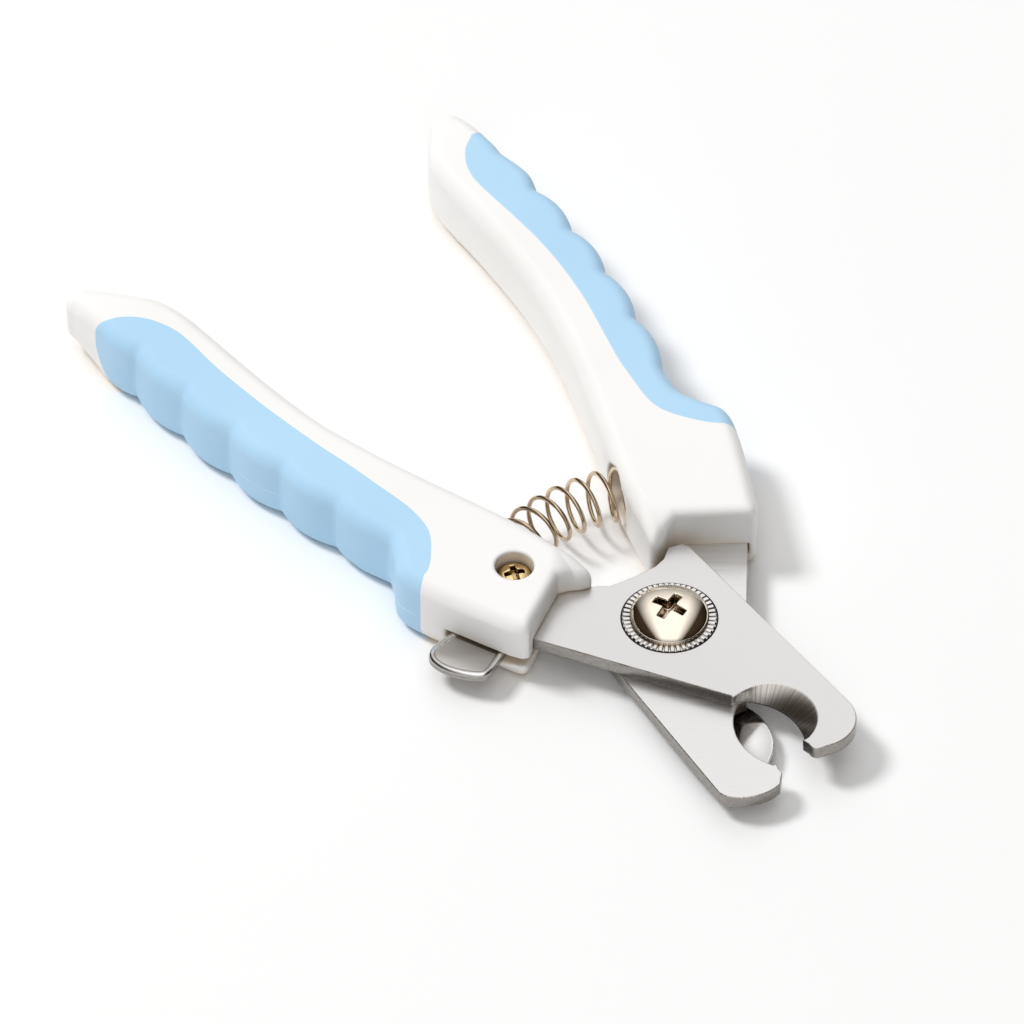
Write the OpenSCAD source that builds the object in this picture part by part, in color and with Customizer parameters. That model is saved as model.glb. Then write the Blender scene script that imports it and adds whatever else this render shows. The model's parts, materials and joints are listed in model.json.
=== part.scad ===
// Plier-style pet nail trimmer: two crossed blades on a pivot screw, two moulded
// handles with soft finger grips, a return spring, a lock lever and a nail guard.
// X runs from the handle tails to the jaws, Y across the handles, Z up.
// The origin is the middle of the footprint, on the surface that the trimmer lies on.
// Left and right are as seen from the jaws, so the left side is the one at -Y.

/* [Handles] */
// Distance from the pivot to the tail of the left handle
handle_reach = 97.5; // [97:0.1:98]
// Height of a handle above the plane where the blades meet
top_height = 6.5; // [6.2:0.1:7]
// Depth of a handle below the plane where the blades meet
bottom_depth = 4.6; // [4.5:0.1:5.2]
// Radius of the upper edges
top_round = 2.2; // [2:0.1:2.6]
// Radius of the lower edges
bottom_round = 2.6; // [2.2:0.1:2.8]
// Height of a finger lobe above the valleys between lobes
lobe_height = 1.15; // [0.8:0.05:1.5]
// Wall of the soft grip
grip_wall = 1.5; // [1.2:0.1:1.8]

/* [Blades] */
// Thickness of the blade stock
blade_t = 2; // [1.8:0.1:2.2]
// Turn of the upper blade against the left handle, degrees
upper_skew = 0.9; // [0.5:0.1:1.2]
// Turn of the lower blade against the right handle, degrees
lower_skew = 4.3; // [4:0.1:4.6]
// Radius of the nail notch on the wide side of its bevel
notch_r = 6.2; // [5.8:0.1:6.4]

/* [Pivot] */
// Diameter of the knurled ring round the screw head
ring_d = 13; // [12.6:0.1:13.4]
// Diameter of the domed screw head
head_d = 11; // [10.6:0.1:11.4]
// Diameter of the bush that the blades turn on
bush_d = 8; // [7:0.1:8.4]
// Diameter of the pivot screw's shank
shank_d = 5; // [4:0.1:5.4]

/* [Spring] */
// Outer diameter of the spring
spring_d = 7.8; // [7.4:0.1:8.4]
// Diameter of the spring wire
wire_d = 0.65; // [0.5:0.05:0.8]
// Number of turns
spring_turns = 9; // [8:0.5:9.5]
// Radius of the arc that the spring's axis follows round the pivot
spring_arc = 25.8; // [25.6:0.1:26.4]

/* [Hidden] */
$fn = 48;

slip = 0.05;
face_gap = 0.02;
pivot_at = [32.5, 0.9, bottom_depth];
LEFT = -1;
RIGHT = 1;

// Plan of a handle as distances from the centre line, at places along X from the pivot.
// Each list holds the left handle, then the right one, whose tail is shorter and slimmer.
shaft_inner = [[-43, 15.3], [-33, 11.6], [-24, 8.2], [-17, 6.3], [-11, 4.8], [-4, 3.2]];
inner_wall = [
    concat([[-98, 31.6], [-96.8, 30.3], [-94.5, 28.6], [-92.3, 27], [-89, 24.5], [-86.6, 23.4], [-84, 22.7],
        [-80, 22.2], [-73, 21.6], [-66, 20.9], [-60, 20.1], [-54, 18.9]], shaft_inner),
    concat([[-97, 28.3], [-95, 26.85], [-92, 24.4], [-90, 23], [-87.5, 21.9], [-84, 21.35], [-78, 21.2],
        [-72, 20.9], [-66, 20.4], [-60, 19.6], [-54, 18.4], [-48.5, 16.9]], shaft_inner)
];
shaft_outer = [[-37, 25.4], [-32, 24.7], [-29, 25.8], [-25.4, 27.6], [-21, 26.6], [-14, 23.5], [-5, 19.3]];
outer_wall = [
    concat([[-97, 34.2], [-95, 34.3], [-92.5, 34.25], [-86.5, 33.4], [-81.5, 32.6], [-72.6, 31.8],
        [-62.8, 30.7], [-53, 29.2], [-42.3, 26.9]], shaft_outer),
    concat([[-97, 31.3], [-93.5, 31.6], [-91, 31.85], [-88, 31.85], [-84.4, 31.65], [-75.5, 31.3],
        [-66.3, 30.8], [-57, 29.8], [-46.8, 27.9]], shaft_outer)
];
grip_edge = [
    [[-91, 34.5], [-89.3, 33.4], [-88.4, 32.2], [-87.8, 30.9], [-86.6, 29.2], [-84.5, 27.5], [-81.7, 26.3],
        [-78.9, 25.8], [-72, 25.6], [-62.7, 24.6], [-57, 23.7], [-51.4, 22.7], [-46, 21.5], [-40, 20.4],
        [-35, 19.5], [-31.7, 19.4], [-29.2, 19.8], [-27.2, 20.8], [-24, 23.2], [-21.9, 25.5], [-21, 27]],
    [[-91, 32.6], [-89.1, 30.2], [-88.3, 28.8], [-87.4, 27.6], [-86.3, 26.7], [-85, 25.9], [-83.3, 25.25],
        [-81.4, 24.9], [-78.4, 24.9], [-72, 25.2], [-66.9, 25.3], [-60.7, 24.9], [-53.5, 23.8], [-47.3, 22.3],
        [-41.2, 20.8], [-36.1, 20], [-32.4, 19.6], [-29.7, 20], [-27.4, 21.2], [-24.6, 23.2], [-21, 27]]
];
grip_from = -89.3;
grip_to = -21.4;
tail_step = 1.35;
tip_r = [2.45, 2.6];
tip_centre = [
    [tip_r[0] - handle_reach, 31.85],
    [tip_r[1] - handle_reach + tail_step, 29]
];
// Where the rounded tip meets the inner wall and the outer wall, from the tip's centre
tip_join = [[-1.8, 0], [-1.6, 0]];
// First valley, pitch of the lobes and how much the pitch closes up towards the tail
lobe_row = [[-31.8, 9.94, 0], [-36.9, 10.2, 0.0015]];
lobes_end = [-92, -87.5];
lobe_fade = 9;
station = 1.6;
arc_steps = 4;

// Front of a handle from its tongue, over the blade, to its outer corner
front_edge = [[-10.6, 0], [-10.6, 4.4], [-10.8, 5.6], [-11.3, 7.1], [-12.1, 8.6], [-12.4, 10],
    [-7.3, 17.9], [-6.5, 19], [-6.4, 20], [-7.4, 21.4], [-3, 26]];
tongue_drop = 2.6;

// Hardware centres, from the pivot; the handle screw is in handle coordinates
handle_screw_at = [-17, 14];
guard_at = [8.8, -5.2];

// ---------- curves and sweeps ----------

function span_of(p, x, i = 0) = i >= len(p) - 2 || x <= p[i + 1].x ? i : span_of(p, x, i + 1);
function tangent(p, i) =
    let (a = p[max(i - 1, 0)], b = p[min(i + 1, len(p) - 1)])
    (b.y - a.y) / (b.x - a.x);
// Height at x of the smooth curve through the points p
function curve(p, x) =
    let (
        i = span_of(p, x),
        h = p[i + 1].x - p[i].x,
        t = (x - p[i].x) / h
    )
    p[i].y * (1 + 2 * t) * pow(1 - t, 2) + p[i + 1].y * t * t * (3 - 2 * t)
        + h * t * (1 - t) * (tangent(p, i) * (1 - t) - tangent(p, i + 1) * t);

function at(side) = side == LEFT ? 0 : 1;
function lobe(side, x) =
    let (
        row = lobe_row[at(side)],
        back = row[0] - x,
        k = back / row[1] * (1 + row[2] * back),
        fade = (x - lobes_end[at(side)]) / lobe_fade
    )
    back < 0 || fade < 0 ? 0 : lobe_height * pow(abs(sin(180 * k)), 0.8) * min(1, fade);

function tip_half(side, x) = sqrt(max(0.02, pow(tip_r[at(side)], 2) - pow(x - tip_centre[at(side)].x, 2)));
function y_in(side, x) =
    let (tip = tip_centre[at(side)])
    x < tip.x + tip_join[at(side)][0] ? tip.y - tip_half(side, x) : curve(inner_wall[at(side)], x);
function y_out(side, x) =
    let (tip = tip_centre[at(side)])
    x < tip.x + tip_join[at(side)][1] ? tip.y + tip_half(side, x)
        : curve(outer_wall[at(side)], x) + lobe(side, x);
function y_grip(side, x, r) = min(curve(grip_edge[at(side)], x), y_out(side, x) - r - 0.2);

function arc(c, r, a, b, n) = [for (i = [0:n]) c + r * [cos(a + (b - a) * i / n), sin(a + (b - a) * i / n)]];
function flat(list) = [for (l = list) each l];
function steps(a, b, d) = let (n = ceil((b - a) / d)) [for (i = [0:n]) a + (b - a) * i / n];

// Solid between the closed rings of a list, each with the same number of points.
// The first half of a ring faces its second half, and the end caps run between the two.
module skin(rings) {
    n = len(rings[0]);
    m = len(rings);
    half = n / 2;
    walls = [for (i = [0:m - 2], j = [0:n - 1])
        let (a = i * n + j, b = i * n + (j + 1) % n)
        each [[a, b, b + n], [a, b + n, a + n]]];
    cap = [for (j = [0:half - 2]) each [[j, n - 1 - j, j + 1], [n - 1 - j, n - 2 - j, j + 1]]];
    caps = concat(
        [for (f = cap) f],
        [for (f = cap) [for (k = [2:-1:0]) f[k] + (m - 1) * n]]
    );
    polyhedron(flat(rings), concat(walls, caps), convexity = 8);
}

// How far the handle thins towards its tail
function fall(x) = 1 - 0.28 * pow(max(0, -86 - x) / 12.5, 2);

// How much the rounded end lowers a handle half with edge radius r
function tip_drop(side, x, r) =
    let (inward = max(0.1, min(r, x - tip_centre[at(side)].x + tip_r[at(side)])))
    r - sqrt(pow(r, 2) - pow(r - inward, 2));

// Ring at x of a handle half of height h with edge radius r: outer side, then inner side
function body_ring(side, x, h, r) =
    let (
        a = y_in(side, x),
        b = y_out(side, x),
        e = min(r, 0.42 * (b - a)),
        k = h * fall(x) - tip_drop(side, x, r),
        outer = concat(arc([b - e, k - e], e, 90, 0, arc_steps), [[b, 0]]),
        inner = concat([[a, 0]], arc([a + e, k - e], e, 180, 90, arc_steps))
    )
    [for (p = concat(outer, inner)) [x, p.x, p.y]];

// Ring at x of the soft grip: its face, then its back. A cutter reaches out past the handle.
function grip_ring(side, x, h, r, past) =
    let (
        b = y_out(side, x),
        k = h * fall(x),
        c = y_grip(side, x, r),
        face = concat([[c, k]], arc([b - r, k - r], r, 90, 0, arc_steps), [[b, 0]]),
        back = concat(
            [[c, k - grip_wall]],
            arc([b - r, k - r], r - grip_wall, 90, 0, arc_steps),
            [[b - grip_wall, 0]]
        ),
        reach = concat(
            [[c, k + past]],
            arc([b - r, k - r], r + past, 90, 0, arc_steps),
            [[b + past, -past]]
        ),
        floor = concat([for (i = [0:len(back) - 2]) back[i]], [[b - grip_wall, -past]]),
        front = past > 0 ? reach : face,
        rear = past > 0 ? floor : back,
        n = len(front)
    )
    [for (p = concat(front, [for (i = [n - 1:-1:0]) rear[i]])) [x, p.x, p.y]];

// Half of a handle without its fittings, standing up from the joint plane
module half_body(side, h, r) {
    tip = tip_centre[at(side)].x;
    end = [for (a = [0:15:75]) tip - tip_r[at(side)] * cos(a)];
    rings = [for (x = concat(end, steps(tip, -4, station))) body_ring(side, x, h, r)];
    skin(rings);
}

module half_grip(side, h, r, past = 0) {
    rings = [for (x = steps(grip_from, grip_to, station)) grip_ring(side, x, h, r, past)];
    skin(rings);
}

// Space ahead of a handle: the tongue's nose, a hollow, the front face and a rounded corner
module ahead(back) {
    translate([-back, 0, -20])
        linear_extrude(40)
            polygon(concat([[0, 0]], front_edge, [[0, 26]]));
}

// The tongue falls away towards its tip
module tongue_fall(h) {
    translate([0, 8.8, 0])
        rotate([90, 0, 0])
            linear_extrude(12)
                polygon([[-15, h + 1], [-15, h], [-5, h - 2 * tongue_drop], [-3, h + 1]]);
}

// Blade plan in handle coordinates: the tang lies in the handle, the jaw turns by the skew
tang = [[-17.5, 11.2], [-20.5, 14], [-25, 16.5], [-36, 18.5], [-36, 22], [-22, 23], [-15, 21.7]];
jaw_tip = [
    [for (i = [0:9]) [27.2, -4.9] + (5.3 + i / 45) * [cos(17 - i * 107 / 9), sin(17 - i * 107 / 9)]],
    [[33, -2.4], [33.35, -3.6], [33.4, -4.8], [33.25, -6.2], [32.9, -7.4], [32.35, -8.5], [31.7, -9.4],
        [30.9, -10.1], [30, -10.4]]
];
function jaw(side) = concat(
    [[-11.6, 19.8], [16.9, 2], [30.4, -1.1], [31.3, -1], [31.95, -1.6]],
    jaw_tip[at(side)],
    [[-9.3, -10.4], [-10.4, -9.9], [-10.8, -8.5], [-10.9, -7.8], [-9.6, -6.1], [-9.1, -4.3],
        [-9.2, -1.1], [-9.5, 1.1], [-9.8, 3], [-10.7, 4.1], [-12.8, 9.1]]
);
function skew(side) = side == LEFT ? -upper_skew : -lower_skew;
function turned(p, a) = [p.x * cos(a) - p.y * sin(a), p.x * sin(a) + p.y * cos(a)];
module blade_plan(side) {
    polygon(concat([for (p = jaw(side)) turned(p, skew(side))], tang));
}

boss_at = [-31, 19.8];
boss_d = 3;

// Socket for one end of the spring, across both halves of a handle
seat_angle = 24.5;
seat_d = spring_d + 0.8;
spring_z = 0.9;
module spring_socket() {
    rotate([0, 0, -seat_angle])
        translate([-spring_arc, 0, spring_z])
            rotate([90, 0, 0])
                cylinder(h = 9, d = seat_d);
}

insert_d = 5;
screw_d = 3;
screw_head_d = 5.2;
counterbore_d = 5.4;
module at_screw() translate([handle_screw_at.x, handle_screw_at.y, 0]) children();

// Room for the lock lever: its hub, its swing and the open front of the slot
lever_gap = 1.95;
lever_room_plan = [[-17, 9.2], [-21.2, 11.6], [-21.4, 17], [-17.6, 25.2], [-18.4, 29], [-2, 29], [-2, 9.2]];
module lever_room() {
    translate([0, 0, -lever_gap])
        linear_extrude(lever_gap + 1) {
            polygon(lever_room_plan);
            translate(handle_screw_at) circle(r = 4.8);
        }
}

module handle_top(side) {
    difference() {
        half_body(side, top_height, top_round);
        half_grip(side, top_height, top_round, past = 3);
        ahead(0);
        tongue_fall(top_height);
        spring_socket();
        if (side == LEFT) {
            difference() {
                translate([0, 0, -1]) linear_extrude(1 + blade_t) blade_plan(side);
                translate([boss_at.x, boss_at.y, 0]) cylinder(h = blade_t + 1, d = boss_d);
            }
            at_screw() translate([0, 0, -1]) cylinder(h = 9, d = screw_d);
            at_screw() translate([0, 0, 3.6]) cylinder(h = 9, d = counterbore_d);
        } else {
            at_screw() translate([0, 0, -1]) cylinder(h = 4.5, d = insert_d);
        }
    }
}

module handle_bottom(side) {
    difference() {
        mirror([0, 0, 1]) half_body(side, bottom_depth, bottom_round);
        mirror([0, 0, 1]) half_grip(side, bottom_depth, bottom_round, past = 3);
        ahead(side == LEFT ? 0.9 : 0);
        spring_socket();
        if (side == LEFT) {
            lever_room();
            at_screw() translate([0, 0, -9]) cylinder(h = 10, d = screw_d);
            at_screw() translate([0, 0, -9]) cylinder(h = 6.6, d = insert_d);
        } else {
            difference() {
                translate([0, 0, -blade_t - face_gap]) linear_extrude(blade_t + 1) blade_plan(side);
                translate([boss_at.x, boss_at.y, -blade_t - 1]) cylinder(h = blade_t + 1, d = boss_d);
            }
            at_screw() translate([0, 0, -9]) cylinder(h = 10, d = screw_d);
            at_screw() translate([0, 0, -9]) cylinder(h = 5.8, d = counterbore_d);
        }
    }
}

// ---------- blades ----------

// The notch is ground to a bevel: shallow at the cutting edge, round and deeper on the other face.
// A narrow land is left along the cutting edge.
land = 0.3;
edge_arc = [24.3, 5.9];
edge_r = 8.9;
bevel_arc = [23.4, -0.1];
module notch() {
    low = arc(edge_arc, edge_r, 215.8, 305.5, 16);
    high = arc(bevel_arc, notch_r, 180, 345, 16);
    over = low + (high - low) * (blade_t + 1 - land) / (blade_t - land);
    rings = [for (row = [[low, -1], [low, land], [over, blade_t + 1]])
        concat(
            [for (p = row[0]) [p.x, 8, row[1]]],
            [for (i = [16:-1:0]) [row[0][i].x, row[0][i].y, row[1]]]
        )];
    skin(rings);
}

module blade(side) {
    difference() {
        linear_extrude(blade_t) blade_plan(side);
        rotate(skew(side)) notch();
        at_screw() translate([0, 0, -1]) cylinder(h = blade_t + 2, d = screw_d);
        translate([boss_at.x, boss_at.y, -1]) cylinder(h = blade_t + 2, d = boss_d);
        translate([0, 0, -1]) cylinder(h = blade_t + 2, d = side == LEFT ? bush_d : bush_d + 2 * slip);
    }
}

// ---------- hardware ----------

// Cross recess for a driver, sunk from z = 0
module cross(span, width, depth) {
    for (a = [0, 90])
        rotate(a)
            translate([-span / 2, -width / 2, -depth])
                cube([span, width, depth + 5]);
}

ring_t = 1;
head_rim = 0.5;
dome_h = 2.1;
head_turn = 23;
bush_end = -blade_t - 2 * face_gap;
module knurled_outline(d, teeth, deep) {
    polygon([for (i = [0:2 * teeth - 1])
        let (r = d / 2 - (i % 2) * deep)
        r * [cos(180 * i / teeth), sin(180 * i / teeth)]]);
}

module domed_screw() {
    difference() {
        rotate_extrude()
            polygon(concat(
                [[0, bush_end - 2.3], [shank_d / 2, bush_end - 2.3]],
                [[shank_d / 2, blade_t], [head_d / 2, blade_t]],
                [for (i = [0:8])
                    let (a = 90 * i / 8)
                    [head_d / 2 * cos(a), blade_t + head_rim + dome_h * sin(a)]]
            ));
        translate([0, 0, blade_t + head_rim + dome_h]) rotate(head_turn) cross(5.1, 1.2, 1.6);
    }
}

module pan_screw(length, head_h) {
    difference() {
        union() {
            translate([0, 0, -length]) cylinder(h = length, d = screw_d);
            cylinder(h = head_h, d = screw_head_d);
        }
        translate([0, 0, head_h]) cross(3, 0.8, 0.9);
    }
}

module tube(z, h, outer, inner) {
    translate([0, 0, z])
        difference() {
            cylinder(h = h, d = outer);
            translate([0, 0, -1]) cylinder(h = h + 2, d = inner);
        }
}

// Wire round an arc about the pivot, closed up for one turn at each end
wire_sides = 6;
wire_start = 0.6;
turn_steps = 16;
function along(t) =
    let (
        arc_length = 2 * seat_angle * PI / 180 * spring_arc,
        closed = wire_d * 1.02,
        start = 0.65 * wire_d,
        open = (arc_length - 2 * start - 2 * closed) / (spring_turns - 2)
    )
    (start + min(t, 1) * closed + max(0, min(t, spring_turns - 1) - 1) * open
        + max(0, t - spring_turns + 1) * closed) / arc_length;
module spring() {
    rings = [for (i = [0:spring_turns * turn_steps])
        let (
            t = i / turn_steps,
            a = seat_angle * (1 - 2 * along(t)),
            turn = 360 * (t + wire_start),
            r = (spring_d - wire_d) / 2
        )
        [for (j = [0:wire_sides - 1])
            let (
                w = 360 * j / wire_sides,
                out = spring_arc + (r + wire_d / 2 * cos(w)) * cos(turn),
                lean = wire_d / 2 * sin(w) / spring_arc * 180 / PI
            )
            [
                -out * cos(a - lean),
                out * sin(a - lean),
                spring_z - (r + wire_d / 2 * cos(w)) * sin(turn)
            ]]];
    skin(rings);
}

// ---------- lock lever, in left handle coordinates ----------

lever_t = 1.55;
lever_top = -0.15;
lever_bush_d = 4.4;
hub_d = 9.2;
catch_d = 1.2;
lever_plan = [[-17.4, 17.5], [-17.4, 21.5], [-16.9, 25], [-16.6, 27.4], [-15.9, 29.3], [-14.4, 30.2],
    [-12, 29.8], [-9.4, 28.1], [-7.6, 26.2], [-7.4, 24.8], [-8.9, 22.2], [-9.6, 20.6], [-11.5, 18],
    [-12.2, 17], [-9.2, 14.2], [-7.8, 13], [-8.7, 12.1], [-12.5, 10.9], [-16, 10.4], [-18, 14]];
catch_tip = [-8.3, 12.6];
module lever() {
    difference() {
        translate([0, 0, lever_top - lever_t]) {
            linear_extrude(lever_t) polygon(lever_plan);
            at_screw() cylinder(h = lever_t, d = hub_d);
            translate(catch_tip) cylinder(h = lever_t, d = catch_d);
        }
        at_screw() translate([0, 0, -5]) cylinder(h = 10, d = lever_bush_d + 2 * slip);
    }
}

// ---------- nail guard ----------

guard_top = -blade_t - 0.08;
guard_t = 0.7;
dish_at = [19.5, -7];
dish_r = 8.6;
dish_depth = 1.2;
guard_screw_d = 3.2;
module guard() {
    sag = [for (i = [0:8]) [dish_r * i / 8, guard_top - dish_depth * (1 - pow(i / 8, 2))]];
    difference() {
        union() {
            translate([guard_at.x, guard_at.y, guard_top - guard_t]) cylinder(h = guard_t, d = 6.4);
            difference() {
                translate([0, 0, guard_top - guard_t])
                    linear_extrude(guard_t)
                        polygon([[8.4, -2], [13.5, -0.5], [16, -6], [13.5, -11.2], [9, -8.4]]);
                translate([dish_at.x, dish_at.y, -9]) cylinder(h = 18, r = dish_r - 0.6);
            }
            translate([dish_at.x, dish_at.y, 0])
                rotate_extrude()
                    polygon(concat(sag, [for (i = [8:-1:0]) sag[i] - [0, guard_t]]));
        }
        translate([guard_at.x, guard_at.y, -9]) cylinder(h = 18, d = guard_screw_d + 2 * slip);
        rotate(-lower_skew) translate([0, -29.7, -9]) cube([60, 20, 18]);
    }
}

module guard_fixing() {
    translate([guard_at.x, guard_at.y, 0])
        rotate([180, 0, 0])
            difference() {
                union() {
                    translate([0, 0, 0.7]) cylinder(h = 2, d = 2.5);
                    translate([0, 0, blade_t + face_gap]) cylinder(h = 1.2, d = guard_screw_d);
                    translate([0, 0, 3.2]) cylinder(h = 1.1, d = 5);
                }
                translate([0, 0, 4.3]) cross(2.6, 0.7, 0.6);
            }
}

// ---------- nodes ----------

module placed() translate(pivot_at) children();
module on_left() placed() mirror([0, 1, 0]) children();
module on_right() placed() children();

WHITE = "white";
BLUE = "lightskyblue";
STEEL = "silver";
GOLD = "goldenrod";

module left_handle_top_shell() color(WHITE) on_left() handle_top(LEFT);
module left_handle_bottom_shell() color(WHITE) on_left() handle_bottom(LEFT);
module left_grip_top() color(BLUE) on_left() half_grip(LEFT, top_height, top_round);
module left_grip_bottom() color(BLUE)
    on_left() mirror([0, 0, 1]) half_grip(LEFT, bottom_depth, bottom_round);
module right_handle_top_shell() color(WHITE) on_right() handle_top(RIGHT);
module right_handle_bottom_shell() color(WHITE) on_right() handle_bottom(RIGHT);
module right_grip_top() color(BLUE) on_right() half_grip(RIGHT, top_height, top_round);
module right_grip_bottom() color(BLUE)
    on_right() mirror([0, 0, 1]) half_grip(RIGHT, bottom_depth, bottom_round);

module upper_blade() color(STEEL) on_left() difference() {
    blade(LEFT);
    translate([0, 0, blade_t - ring_t]) cylinder(h = 5, d = ring_d + 0.4);
}
module lower_blade() color(STEEL) on_right() difference() {
    translate([0, 0, -face_gap]) mirror([0, 0, 1]) blade(RIGHT);
    translate([guard_at.x, guard_at.y, -5]) cylinder(h = 4.3, d = 2.5);
}

module pivot_screw() color(GOLD) placed() domed_screw();
module pivot_bush() color(STEEL) placed() difference() {
    union() {
        translate([0, 0, blade_t - ring_t]) linear_extrude(ring_t) knurled_outline(ring_d, 48, 0.25);
        translate([0, 0, bush_end]) cylinder(h = blade_t - bush_end - 0.5, d = bush_d);
    }
    translate([0, 0, -9]) cylinder(h = 18, d = shank_d);
}
module pivot_washer() color(STEEL) placed() tube(bush_end - 0.4, 0.4, 11, shank_d);
module pivot_nut() color(STEEL) placed() difference() {
    translate([0, 0, bush_end - 2.4]) cylinder(h = 2, d = 9.2, $fn = 6);
    translate([0, 0, -9]) cylinder(h = 18, d = shank_d);
}

module return_spring() color(GOLD) placed() spring();
module lock_lever() color(STEEL) on_left() lever();
module lever_bush() color(STEEL) on_left() at_screw() tube(-lever_gap, lever_gap, lever_bush_d, screw_d);
module left_handle_screw() color(GOLD) on_left() at_screw() translate([0, 0, 3.6]) pan_screw(8, 1.6);
module left_handle_insert() color(GOLD) on_left() at_screw() tube(-4.4, 2, insert_d, screw_d);
module right_handle_screw() color(GOLD)
    on_right() at_screw() translate([0, 0, -3.2]) rotate([180, 0, 0]) pan_screw(6.6, 1.2);
module right_handle_insert() color(GOLD) on_right() at_screw() tube(0.5, 2.9, insert_d, screw_d);

module guard_plate() color(STEEL) placed() guard();
module guard_screw() color(STEEL) placed() guard_fixing();
module guard_washer() color(STEEL) placed()
    translate([guard_at.x, guard_at.y, 0]) tube(-3.17, 0.3, 5.6, guard_screw_d);

left_handle_top_shell();
left_handle_bottom_shell();
left_grip_top();
left_grip_bottom();
right_handle_top_shell();
right_handle_bottom_shell();
right_grip_top();
right_grip_bottom();
upper_blade();
lower_blade();
pivot_screw();
pivot_bush();
pivot_washer();
pivot_nut();
return_spring();
lock_lever();
lever_bush();
left_handle_screw();
left_handle_insert();
right_handle_screw();
right_handle_insert();
guard_plate();
guard_screw();
guard_washer();
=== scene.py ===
import json
import math
import bmesh
import bpy
import numpy as np
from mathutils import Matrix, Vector
from mathutils.geometry import tessellate_polygon


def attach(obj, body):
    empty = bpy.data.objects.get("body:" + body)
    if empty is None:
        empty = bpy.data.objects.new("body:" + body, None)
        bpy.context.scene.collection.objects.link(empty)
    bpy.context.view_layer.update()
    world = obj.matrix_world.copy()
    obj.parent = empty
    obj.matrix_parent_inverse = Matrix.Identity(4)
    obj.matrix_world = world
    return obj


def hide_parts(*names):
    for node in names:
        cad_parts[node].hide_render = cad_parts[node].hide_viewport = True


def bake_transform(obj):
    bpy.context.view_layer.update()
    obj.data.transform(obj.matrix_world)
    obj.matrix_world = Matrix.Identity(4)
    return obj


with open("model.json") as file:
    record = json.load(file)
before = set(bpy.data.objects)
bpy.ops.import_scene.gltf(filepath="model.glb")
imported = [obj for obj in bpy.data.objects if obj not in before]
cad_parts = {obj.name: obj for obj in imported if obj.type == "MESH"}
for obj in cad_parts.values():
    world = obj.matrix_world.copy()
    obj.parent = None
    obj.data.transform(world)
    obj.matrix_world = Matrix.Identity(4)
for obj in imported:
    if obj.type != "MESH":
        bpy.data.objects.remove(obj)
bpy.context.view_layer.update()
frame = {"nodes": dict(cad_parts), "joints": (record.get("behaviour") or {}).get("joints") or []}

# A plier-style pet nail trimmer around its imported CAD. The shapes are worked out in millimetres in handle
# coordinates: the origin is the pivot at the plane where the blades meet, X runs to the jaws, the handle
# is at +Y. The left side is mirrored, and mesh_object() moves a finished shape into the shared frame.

MM = 0.001
PIVOT = np.array(frame["joints"][0]["pos_m"]) / MM
LEFT, RIGHT = -1, 1

# ---------- plan of a handle ----------

TOP, BOTTOM = 6.5, 4.6
TOP_ROUND, BOTTOM_ROUND = 2.2, 2.6
FRONT_ROUND = 1.3
FRONT = -2.0
INNER_WALL = {
    LEFT: [(-98, 31.6), (-96.8, 30.3), (-94.5, 28.6), (-92.3, 27), (-89, 24.5), (-86.6, 23.4), (-84, 22.7),
           (-80, 22.2), (-73, 21.6), (-66, 20.9), (-60, 20.1), (-54, 18.9), (-43, 15.4), (-33, 11.6),
           (-24, 8.2), (-17, 6.3), (-11, 4.8), (-4, 3.2)],
    RIGHT: [(-97, 28.3), (-95, 26.85), (-92, 24.4), (-90, 23), (-87.5, 21.9), (-84, 21.35), (-78, 21.2),
            (-72, 20.9), (-66, 20.4), (-60, 19.6), (-54, 18.4), (-48.5, 16.9), (-43, 15.2), (-33, 11.6),
            (-24, 8.2), (-17, 6.3), (-11, 4.8), (-4, 3.2)]}
OUTER_WALL = {
    LEFT: [(-97, 34.2), (-95, 34.3), (-92.5, 34.25), (-86.5, 33.4), (-81.5, 32.6), (-72.6, 31.8),
           (-62.8, 30.7), (-53, 29.2), (-42.3, 26.9), (-36.5, 25.4), (-32, 24.7), (-29, 25.8),
           (-25.4, 27.6), (-21, 26.6), (-14, 23.5), (-5, 19.3)],
    RIGHT: [(-97, 31.3), (-93.5, 31.6), (-91, 31.85), (-88, 31.85), (-84.4, 31.65), (-75.5, 31.3),
            (-66.3, 30.8), (-57, 29.8), (-46.8, 27.9), (-37, 25.4), (-32, 24.7), (-29, 25.9),
            (-25.4, 27.7), (-21, 26.7), (-14, 23.6), (-5, 19.3)]}
TIP = {LEFT: (-95.05, 31.85, 2.65), RIGHT: (-93.5, 29.0, 2.6)}
TIP_JOIN = {LEFT: (-96.8, -95.0), RIGHT: (-95.1, -93.5)}
GRIP_EDGE = {
    LEFT: [(-91, 34.5), (-89.3, 33.4), (-88.4, 32.2), (-87.8, 30.9), (-86.6, 29.2), (-84.5, 27.5),
           (-81.7, 26.3), (-78.9, 25.8), (-72, 25.6), (-62.7, 24.6), (-57, 23.7), (-51.4, 22.7),
           (-46, 21.5), (-40, 20.4), (-35, 19.5), (-31.7, 19.4), (-29.2, 19.8), (-27.2, 20.8),
           (-25.8, 21.8), (-24.5, 22.8), (-23.4, 23.9), (-22.5, 25.2), (-21, 27.2)],
    RIGHT: [(-91, 32.6), (-89.1, 30.2), (-88.3, 28.8), (-87.4, 27.6), (-86.3, 26.7), (-85, 25.9),
            (-83.3, 25.25), (-81.4, 24.9), (-78.4, 24.9), (-72, 25.2), (-66.9, 25.3), (-60.7, 24.9),
            (-53.5, 23.8), (-47.3, 22.3), (-41.2, 20.8), (-36.1, 20), (-32.4, 19.6), (-29.7, 20),
            (-27.4, 21.2), (-24.6, 23.2), (-22.6, 25.2), (-21, 27)]}
GRIP_FROM, GRIP_TO, GRIP_WALL = -89.3, -21.4, 1.45
LOBE_VALLEY = {LEFT: (-31.8, 9.94, 0), RIGHT: (-36.9, 10.2, 0.0015)}
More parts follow.
